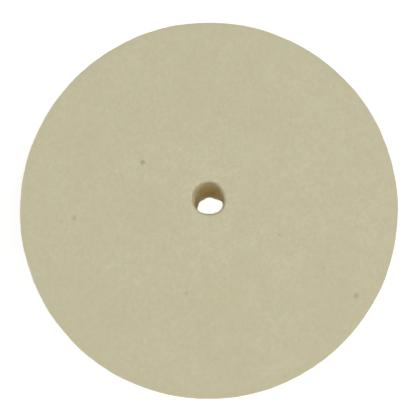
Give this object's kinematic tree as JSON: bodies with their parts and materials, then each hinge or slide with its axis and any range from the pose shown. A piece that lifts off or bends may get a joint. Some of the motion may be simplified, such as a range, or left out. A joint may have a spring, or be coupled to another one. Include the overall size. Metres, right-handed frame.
{
  "type": "felt polishing wheel",
  "caption": "Flat, plain disc of pressed wool felt with a round bore through its middle, used with polishing compound on a lapidary arbor.",
  "frame": {"origin": "on the bore's axis, at the rear face, which the wheel lies on", "axes": "+Z along the bore's axis, from the rear face to the front face; X and Y are any two square directions across the round faces"},
  "size_m": [0.1524, 0.1524, 0.0381],
  "materials": {
    "wool_felt": "matte",
    "dried_glue": "matte"
  },
  "bodies": {
    "root": {"front_felt_ply": "wool_felt", "middle_felt_ply": "wool_felt", "rear_felt_ply": "wool_felt", "front_glue_layer": "dried_glue", "rear_glue_layer": "dried_glue"}
  },
  "joints": []
}
